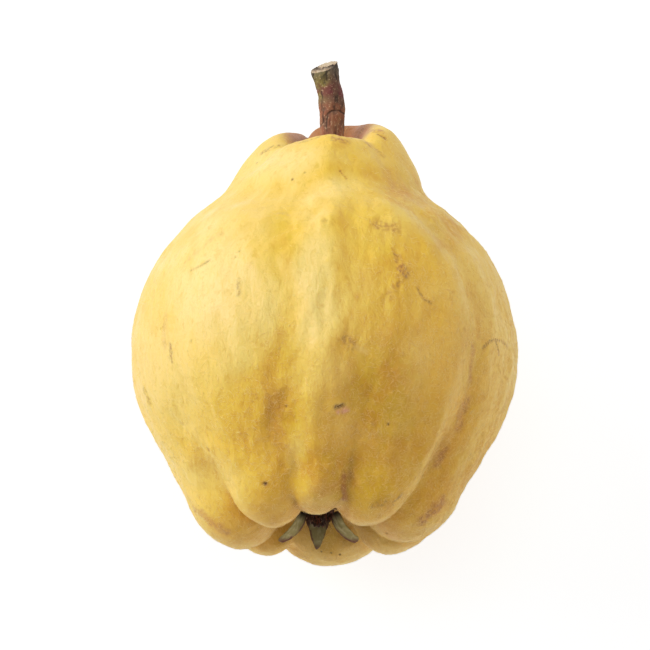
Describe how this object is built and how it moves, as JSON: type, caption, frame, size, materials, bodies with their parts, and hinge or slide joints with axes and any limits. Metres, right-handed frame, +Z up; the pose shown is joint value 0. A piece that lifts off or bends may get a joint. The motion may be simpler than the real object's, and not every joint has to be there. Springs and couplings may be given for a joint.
{
  "type": "quince",
  "caption": "Ripe lobed quince with a knobbly neck, a short cut woody stem and a dried calyx in its basin, lying on its side.",
  "frame": {"origin": "under the middle of the overall bounds, on the surface the quince lies on", "axes": "+Z up; +Y along the core towards the stem's end, -Y towards the calyx; +X to the right when looking along +Y"},
  "size_m": [0.0852, 0.1114, 0.08],
  "materials": {
    "skin": "satin skin with patches of fine pale down",
    "bark": "rough bark with a sawn end",
    "withered": "dry and matt",
    "sepal": "dry and matt with brown edges"
  },
  "bodies": {
    "root": {"fruit": "skin", "stem": "bark", "calyx_cup": "withered", "styles": "withered", "sepal_1": "sepal", "sepal_2": "sepal", "sepal_3": "sepal", "sepal_4": "sepal", "sepal_5": "sepal"}
  },
  "joints": []
}
